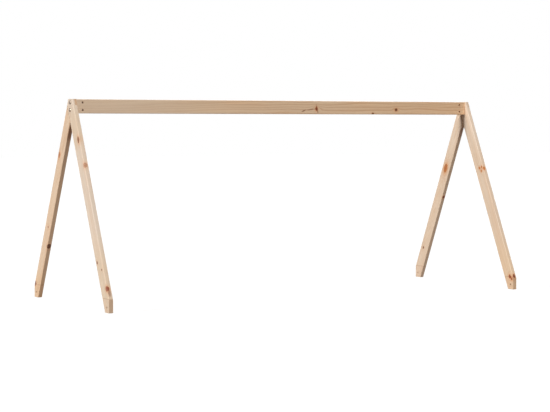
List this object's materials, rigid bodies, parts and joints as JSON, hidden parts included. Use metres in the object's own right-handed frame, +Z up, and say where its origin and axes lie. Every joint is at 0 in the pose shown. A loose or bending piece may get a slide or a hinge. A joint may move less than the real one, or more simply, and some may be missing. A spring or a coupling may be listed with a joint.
{
  "type": "bed roof frame",
  "caption": "A-frame pine roof for a loft bed: half-lapped raking legs at both ends carry a ridge beam held by connector bolts.",
  "frame": {"origin": "on the floor below the middle of the ridge: the bottom centre of the bounding box", "axes": "+X along the ridge to the right, +Y to the rear, +Z up; the barrel nut holes of the ridge face -Y, the front"},
  "size_m": [2.0676, 0.79, 0.87],
  "materials": {
    "pine": "planed solid pine, clear matt lacquer, with knots",
    "bolt_steel": "satin bronze-toned plating",
    "nut_steel": "satin zinc plating"
  },
  "bodies": {
    "root": {"left_front_leg": "pine", "left_rear_leg": "pine", "right_front_leg": "pine", "right_rear_leg": "pine", "ridge_beam": "pine", "left_upper_bolt": "bolt_steel", "left_lower_bolt": "bolt_steel", "right_upper_bolt": "bolt_steel", "right_lower_bolt": "bolt_steel", "left_upper_barrel_nut": "nut_steel", "left_lower_barrel_nut": "nut_steel", "right_upper_barrel_nut": "nut_steel", "right_lower_barrel_nut": "nut_steel"}
  },
  "joints": []
}
